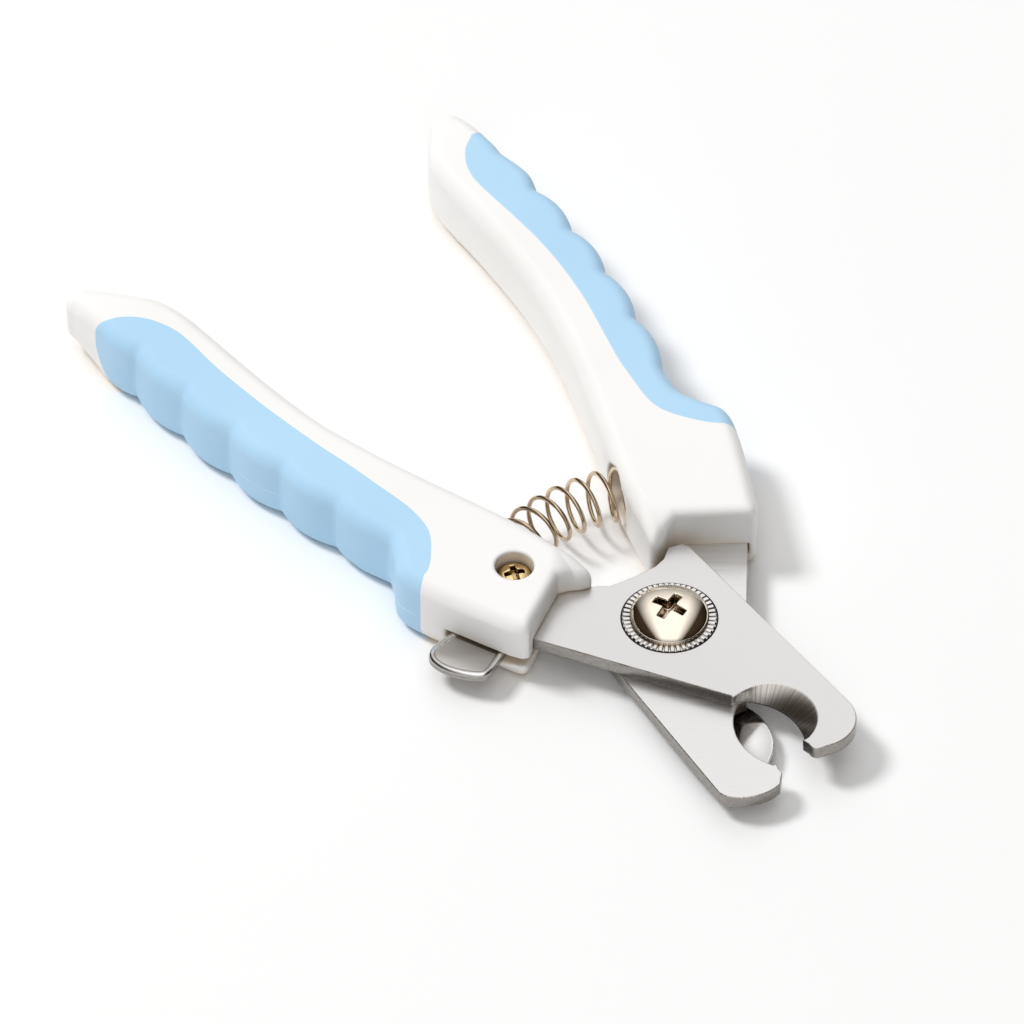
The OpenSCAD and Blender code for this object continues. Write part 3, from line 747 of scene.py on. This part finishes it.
for side in (LEFT, RIGHT):
    label, home = SIDES[side], SIDES[side] + "_side"
    for up in (True, False):
        half = "top" if up else "bottom"
        h = TOP if up else BOTTOM
        zs = spaced(-0.75, h + 0.6, 0.3)
        field = shell(side, up)
        verts, quads = surface(field, X_GRID, Y_GRID, zs if up else -zs[::-1])
        obj = mesh_object(f"{label}_{half}_case", verts, quads, side)
        cut_flat(obj, 0, up)
        finish_piece(obj, home, "handle_plastic", WHITE, f"{label}_handle_{half}_shell")

        r = TOP_ROUND if up else BOTTOM_ROUND
        whole = lambda p, side=side, up=up: body(side, up, p)
        # columns run from the edge on the handle's face, over the rounding, down to the joint plane
        across = np.concatenate([np.linspace(0, 1, 12), np.ones(15)])
        turn = np.concatenate([np.zeros(11), np.linspace(0, math.pi / 2, 9), np.full(7, math.pi / 2)])
        down = np.concatenate([np.zeros(20), np.linspace(0, 1, 8)[1:]])
        xs = spaced(GRIP_FROM, GRIP_TO, 0.55)[:, None] + np.zeros((1, len(across)))
        high = (h - r + r * np.cos(turn)) * (1 - down) * (1 if up else -1)
        xs = xs + tail_shift(side, high) * near(xs, GRIP_FROM) + front_shift(high) * near(xs, GRIP_TO)
        b, c, k = y_out(side, xs), y_grip(side, xs, r), h * fall(xs)
        ys = c + (b - r - c) * across + r * np.sin(turn)
        deep = (k - r + r * np.cos(turn)) * (1 - down)
        shape = np.stack([xs, ys, deep], -1)
        if not up:
            shape[..., 2] *= -1
        n, m = shape.shape[:2]
        keep = shape[..., 2].reshape(-1) == 0  # these stay in the joint plane
        outer = onto(whole, shape.reshape(-1, 3), 0.02)
        outer[keep, 2] = 0
        g = gradient(whole, outer)
        g /= np.linalg.norm(g, axis=1)[:, None]
        inner = outer - GRIP_WALL * g
        inner[keep, 2] = 0
        faces = []
        cell = lambda i, j: i * m + j
        for i in range(n - 1):
            for j in range(m - 1):
                q = [cell(i, j), cell(i + 1, j), cell(i + 1, j + 1), cell(i, j + 1)]
                faces.append(q if up else q[::-1])
                faces.append([n * m + v for v in (q[::-1] if up else q)])
        ring = ([cell(i, 0) for i in range(n)] + [cell(n - 1, j) for j in range(1, m)]
                + [cell(i, m - 1) for i in range(n - 2, -1, -1)]
                + [cell(0, j) for j in range(m - 2, 0, -1)])
        for a, b in zip(ring, ring[1:] + ring[:1]):
            q = [a, n * m + a, n * m + b, b]
            faces.append(q if up else q[::-1])
        obj = mesh_object(f"{label}_{half}_grip", np.concatenate([outer, inner]), faces, side)
        sharp_by_angle(obj, 50)
        finish_piece(obj, home, "soft_grip", BLUE, f"{label}_grip_{half}")


# ---------- blades ----------

ROUND = 0.12
RING_R, BUSH_R = 6.7, 4.05


def circle(r, n=96, c=(0, 0)):
    return [(c[0] + r * math.cos(2 * math.pi * i / n), c[1] + r * math.sin(2 * math.pi * i / n))
            for i in range(n)]


def blade_levels(side):
    """Levels of a blade from z = 0 up, with softened edges."""
    levels = []
    for z, inset in ((0, ROUND), (0.35 * ROUND, 0.35 * ROUND), (ROUND, 0), (LAND, 0),
                     (BLADE - ROUND, 0), (BLADE - 0.35 * ROUND, 0.35 * ROUND), (BLADE, ROUND)):
        levels.append((offset(blade_outline(side, z / BLADE), inset), z))
    return levels


levels = blade_levels(LEFT)
ring_hole = [(circle(BUSH_R), 0), (circle(BUSH_R), 1), (circle(RING_R), 1), (circle(RING_R), BLADE - 0.05),
             (circle(RING_R + 0.05), BLADE)]
obj = stack("upper_blade_plate", levels, [ring_hole], LEFT)
finish_piece(obj, "left_side", "blade_steel", STEEL, "upper_blade")

levels = [(o, -z - 0.02) for o, z in blade_levels(RIGHT)][::-1]
hole = [(circle(BUSH_R), levels[0][1]), (circle(BUSH_R), levels[-1][1])]
obj = stack("lower_blade_plate", levels, [hole], RIGHT)
finish_piece(obj, "right_side", "blade_steel", LOWER_STEEL, "lower_blade")


# ---------- pivot ----------

def cross_field(p, span, width, top, depth, turn):
    c, s = math.cos(math.radians(turn)), math.sin(math.radians(turn))
    x, y = p[:, 0] * c + p[:, 1] * s, -p[:, 0] * s + p[:, 1] * c
    down = top - p[:, 2]
    arms = []
    for a, b in ((x, y), (y, x)):
        reach = span / 2 - 0.4 * down
        arms.append(np.maximum(np.abs(a) - reach, np.abs(b) - width / 2 * (1 - 0.2 * down)))
    return np.maximum(-meet(-arms[0], -arms[1], 0.25), down - depth)


HEAD_R, RIM, DOME = 5.5, 0.5, 2.1


def head(p):
    """Domed head of the pivot screw with a cross recess."""
    x, y, z = p.T
    radial = np.hypot(x, y)
    high = z - BLADE - RIM
    k0 = np.sqrt((radial / HEAD_R) ** 2 + (np.maximum(high, 0) / DOME) ** 2)
    k1 = np.sqrt((radial / HEAD_R ** 2) ** 2 + (np.maximum(high, 0) / DOME ** 2) ** 2)
    dome = np.where(high > 0, k0 * (k0 - 1) / np.maximum(k1, 1e-6), radial - HEAD_R)
    f = meet(dome, BLADE - 0.6 - z, 0.05)
    return less(f, cross_field(p, 5.1, 1.2, BLADE + RIM + DOME, 1.6, 23), 0.14)


g = spaced(-5.8, 5.8, 0.13)
verts, quads = surface(head, g, g, spaced(BLADE - 0.8, BLADE + RIM + DOME + 0.3, 0.11))
obj = mesh_object("pivot_head", verts, quads)
finish_piece(obj, "left_side", "plated_head", GOLD, "pivot_screw")


def knurled_ring(name, inner, outer, top, bottom, teeth, deep):
    """Ring whose upper face is cut into radial teeth, with per steps round each."""
    per = 12
    n = teeth * per
    rows = []
    for r, share in ((inner, 0.0), (inner + 0.1, 1), (outer - 0.15, 1), (outer, 0.3)):
        row = []
        for i in range(n):
            phase = (i % per) / per
            wave = min(1, max(0, 2.2 * math.sin(2 * math.pi * phase) - 0.6))
            a = 2 * math.pi * i / n
            z = top - deep * wave * (1 if share == 1 else 0.4) - (0.15 if share == 0.3 else 0)
            row.append((r * math.cos(a), r * math.sin(a), z))
        rows.append(row)
    for r in (outer, inner):
        rows.append([(r * math.cos(2 * math.pi * i / n), r * math.sin(2 * math.pi * i / n), bottom)
                     for i in range(n)])
    verts = sum(rows, [])
    faces = []
    for k in range(len(rows)):
        a, b = k * n, ((k + 1) % len(rows)) * n
        for i in range(n):
            j = (i + 1) % n
            faces.append([a + i, b + i, b + j, a + j])
    obj = mesh_object(name, verts, faces)
    bm = bmesh.new()
    bm.from_mesh(obj.data)
    bmesh.ops.recalc_face_normals(bm, faces=bm.faces[:])
    bm.to_mesh(obj.data)
    bm.free()
    return obj


obj = knurled_ring("pivot_ring", inner=5.3, outer=6.5, top=BLADE + 0.3, bottom=BLADE - 0.95,
                   teeth=48, deep=0.26)
sharp_by_angle(obj, 35)
finish_piece(obj, "left_side", "bright_steel", BRIGHT)


# ---------- spring ----------

SPRING_R, WIRE_R, TURNS, START = 3.575, 0.325, 9, 0.6
CLOSED_PITCH, END_GAP = 0.663, 0.4225
STEPS, AROUND = 648, 14


def along(t):
    """Share of the seats' arc that the wire has gone after t turns; the end turns are closed."""
    length = 2 * math.radians(SEAT_ANGLE) * SEAT_ARC
    open_pitch = (length - 2 * END_GAP - 2 * CLOSED_PITCH) / (TURNS - 2)
    return (END_GAP + min(t, 1) * CLOSED_PITCH + max(0, min(t, TURNS - 1) - 1) * open_pitch
            + max(0, t - TURNS + 1) * CLOSED_PITCH) / length


def spring_centre(t):
    a = math.radians(SEAT_ANGLE) * (1 - 2 * along(t))
    turn = 2 * math.pi * (t + START)
    out = SEAT_ARC + SPRING_R * math.cos(turn)
    return Vector((-out * math.cos(a), out * math.sin(a), SPRING_Z - SPRING_R * math.sin(turn)))


path = [spring_centre(TURNS * i / STEPS) for i in range(STEPS + 1)]
verts, faces = [], []
for i, c in enumerate(path):
    ahead = (path[min(i + 1, len(path) - 1)] - path[max(i - 1, 0)]).normalized()
    t = TURNS * i / STEPS
    a = math.radians(SEAT_ANGLE) * (1 - 2 * along(t))
    axis_point = Vector((-SEAT_ARC * math.cos(a), SEAT_ARC * math.sin(a), SPRING_Z))
    u = (c - axis_point).normalized()
    u = (u - ahead * u.dot(ahead)).normalized()
    w = ahead.cross(u)
    for j in range(AROUND):
        s = 2 * math.pi * j / AROUND
        verts.append(c + (u * math.cos(s) + w * math.sin(s)) * WIRE_R)
    if i:
        for j in range(AROUND):
            k = (j + 1) % AROUND
            b = i * AROUND
            faces.append([b - AROUND + j, b - AROUND + k, b + k, b + j])
faces.append(list(range(AROUND))[::-1])
faces.append([len(verts) - AROUND + j for j in range(AROUND)])
obj = mesh_object("coil_spring", verts, faces)
obj.data.polygons[len(faces) - 1].use_smooth = False
obj.data.polygons[len(faces) - 2].use_smooth = False
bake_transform(obj)
finish_piece(obj, None, "spring_steel", WIRE, "return_spring")


# ---------- lock lever ----------

LEVER_LOW, LEVER_HIGH, LEVER_ROUND = -1.7, -0.15, 0.55
HUB_R, HUB_BORE = 4.6, 2.25
TAB_FROM, TAB_RIM, TAB_SUNK = 20.5, 0.85, 0.3


def rounded(outline, rounds=3):
    """Outline with its corners cut off again and again until it is smooth."""
    p = np.array(outline, float)
    for _ in range(rounds):
        after = np.roll(p, -1, 0)
        p = np.stack([0.75 * p + 0.25 * after, 0.25 * p + 0.75 * after], 1).reshape(-1, 2)
    return p


LEVER_PLAN = [(-17.4, 17.5), (-17.4, 21.5), (-16.9, 25), (-16.6, 27.4), (-15.9, 29.3), (-14.4, 30.2),
              (-12, 29.8), (-9.4, 28.1), (-7.6, 26.2), (-7.4, 24.8), (-8.9, 22.2), (-9.6, 20.6),
              (-11.5, 18), (-12.2, 17), (-9.2, 14.2), (-7.8, 13), (-8.7, 12.1), (-12.5, 10.9),
              (-16, 10.4), (-18, 14)]
tab_plan = Plan(rounded(LEVER_PLAN), (-26, 6), (-3, 34), 0.1)


def lever(p):
    """Flat lever round the handle screw, with a thumb tab that is sunk inside its rim."""
    x, y, z = p.T
    from_hub = np.hypot(x - SCREW_AT[0], y - SCREW_AT[1])
    flat = np.minimum(tab_plan(x, y), from_hub - HUB_R)
    half = (LEVER_HIGH - LEVER_LOW) / 2
    f = meet(flat, np.abs(z - (LEVER_LOW + LEVER_HIGH) / 2) - half, LEVER_ROUND)
    dish = np.maximum(TAB_FROM - y, LEVER_HIGH - TAB_SUNK - z)
    f = less(f, np.maximum(dish, flat + TAB_RIM), 0.3)
    return less(f, from_hub - HUB_BORE, 0.1)


verts, quads = surface(lever, spaced(-22.2, -6.8, 0.2), spaced(8.8, 30.8, 0.2), spaced(-2.1, 0.25, 0.14))
obj = mesh_object("thumb_lever", verts, quads, LEFT)
finish_piece(obj, "lock", "bright_steel", TAB, "lock_lever")


# ---------- handle screws ----------

def pan_head(p, top, r=2.55):
    """Head of a handle screw with a cross recess."""
    x, y, z = p.T
    radial = np.hypot(x, y)
    crown = z - top + 0.10 * radial ** 2
    f = meet(np.maximum(radial - r, -0.3 - z), crown, 0.35)
    return less(f, cross_field(p, 3.1, 0.8, top, 1.0, 20), 0.1)


g = spaced(-2.8, 2.8, 0.09)
for side, head_h in ((LEFT, 1.6), (RIGHT, 1.2)):
    label = SIDES[side]
    verts, quads = surface(lambda p: pan_head(p, head_h), g, g, spaced(-0.5, head_h + 0.3, 0.09))
    v = verts.copy()
    if side == LEFT:
        v[:, 2] += LEFT_SCREW_SEAT
        q = quads
    else:
        v[:, 2] = RIGHT_SCREW_SEAT - v[:, 2]
        q = quads[:, ::-1]
    v[:, 0] += SCREW_AT[0]
    v[:, 1] += SCREW_AT[1]
    obj = mesh_object(f"{label}_pan_screw", v, q, side)
    finish_piece(obj, f"{label}_side", "plated_head", BRASS, f"{label}_handle_screw")


# ---------- nail guard ----------

GUARD_TOP, GUARD_T = -2.08, 0.7
DISH_AT, DISH_R, DISH_DEPTH = (19.5, -7.0), 8.6, 1.2
GUARD_AT, EYE_R, EYE_BORE = (8.8, -5.2), 3.2, 1.65
GUARD_EDGE = 9.7
arm_plan = Plan([(8.4, -2), (13.5, -0.5), (16, -6), (13.5, -11.2), (9, -8.4)], (2, -14), (20, 4), 0.1)


def guard(p):
    """Dished plate under the notch and its arm, cut off along the lower blade's back."""
    x, y, z = p.T
    r = np.hypot(x - DISH_AT[0], y - DISH_AT[1])
    sag = GUARD_TOP - DISH_DEPTH * (1 - np.minimum(r / DISH_R, 1.1) ** 2)
    dish = np.maximum(np.abs(z - sag + GUARD_T / 2) - GUARD_T / 2, r - DISH_R)
    eye = np.hypot(x - GUARD_AT[0], y - GUARD_AT[1])
    flat = np.maximum(np.minimum(arm_plan(x, y), eye - EYE_R), DISH_R - 0.8 - r)
    arm = meet(flat, np.abs(z - GUARD_TOP + GUARD_T / 2) - GUARD_T / 2, 0.15)
    back = turned((0, 1), SKEW[RIGHT])
    edge = -(x * back[0] + y * back[1]) - GUARD_EDGE
    f = meet(np.minimum(dish, arm), edge, 0.15)
    return less(f, eye - EYE_BORE, 0.05)


verts, quads = surface(guard, spaced(5.0, 28.7, 0.22), spaced(-12.2, 2.0, 0.22), spaced(-4.3, -1.8, 0.12))
obj = mesh_object("guard_dish", verts, quads)
finish_piece(obj, "guard", "bright_steel", MIRROR, "guard_plate")


# ---------- hardware kept from the CAD ----------

for node in ("pivot_bush", "pivot_washer", "pivot_nut", "lever_bush", "left_handle_insert",
             "right_handle_insert", "guard_screw", "guard_washer"):
    for s in frame["nodes"][node].material_slots:
        s.link = "OBJECT"
        s.material = BRASS if node.endswith("insert") else BRIGHT


# ---------- stage, light and camera ----------

def floor_material():
    m, tree, shader, where = nodes_of("pale_floor")
    tree.links.new(two_tone(tree, noise(tree, where, 3), (0.93, 0.93, 0.93), (0.95, 0.95, 0.95)),
                   shader.inputs["Base Color"])
    shader.inputs["Roughness"].default_value = 0.7
    shader.inputs["Specular IOR Level"].default_value = 0.1
    return m


bm = bmesh.new()
bmesh.ops.create_grid(bm, x_segments=8, y_segments=8, size=2.5)
mesh = bpy.data.meshes.new("floor")
bm.to_mesh(mesh)
bm.free()
floor = bpy.data.objects.new("floor", mesh)
bpy.context.scene.collection.objects.link(floor)
floor.data.materials.append(floor_material())

AZIMUTH, ELEVATION, DISTANCE = math.radians(54.65), math.radians(45.75), 2.903
back = Vector((math.sin(AZIMUTH) * math.cos(ELEVATION), -math.cos(AZIMUTH) * math.cos(ELEVATION),
               math.sin(ELEVATION)))
look_at = Vector((PIVOT[0] - 30.628, PIVOT[1] - 4.751, PIVOT[2])) * MM
camera = bpy.data.cameras.new("camera")
camera.lens = 739.5
camera.sensor_width = 36
camera.clip_start = 0.1
camera.clip_end = 20
eye = bpy.data.objects.new("camera", camera)
eye.location = look_at + back * DISTANCE
eye.rotation_euler = (-back).to_track_quat("-Z", "Y").to_euler()
bpy.context.scene.collection.objects.link(eye)
bpy.context.scene.camera = eye


def softbox(name, at, size, power):
    """Square lamp aimed at the trimmer, which no reflection shows."""
    lamp = bpy.data.lights.new(name, "AREA")
    lamp.shape = "SQUARE"
    lamp.size = size
    lamp.energy = power
    obj = bpy.data.objects.new(name, lamp)
    obj.location = at
    obj.rotation_euler = (-Vector(at)).to_track_quat("-Z", "Y").to_euler()
    obj.visible_glossy = False
    bpy.context.scene.collection.objects.link(obj)


softbox("key", at=(-1.5, -1.1, 2.5), size=0.8, power=56)

# A white tent, dark at two opposite sides and brighter towards the top
DARK_SIDES, DARK = (0.5786, 0.8156, 0), (0.04, 0.028, 0.018)
world = bpy.data.worlds.new("studio")
world.use_nodes = True
tree = world.node_tree
sideways = tree.nodes.new("ShaderNodeVectorMath")
sideways.operation = "DOT_PRODUCT"
sideways.inputs[1].default_value = DARK_SIDES
sky = tree.nodes.new("ShaderNodeTexCoord").outputs["Generated"]
tree.links.new(sky, sideways.inputs[0])
off_axis = tree.nodes.new("ShaderNodeMath")
off_axis.operation = "ABSOLUTE"
tree.links.new(sideways.outputs["Value"], off_axis.inputs[0])
tree.links.new(two_tone(tree, off_axis.outputs["Value"], (1, 1, 1), DARK, 0.28, 0.58),
               tree.nodes["Background"].inputs["Color"])
apart = tree.nodes.new("ShaderNodeSeparateXYZ")
tree.links.new(sky, apart.inputs["Vector"])
tree.links.new(spread(tree, apart.outputs["Z"], 0.45, 1.2, 0.2, 0.7),
               tree.nodes["Background"].inputs["Strength"])
bpy.context.scene.world = world
bpy.context.scene.view_settings.view_transform = "Standard"
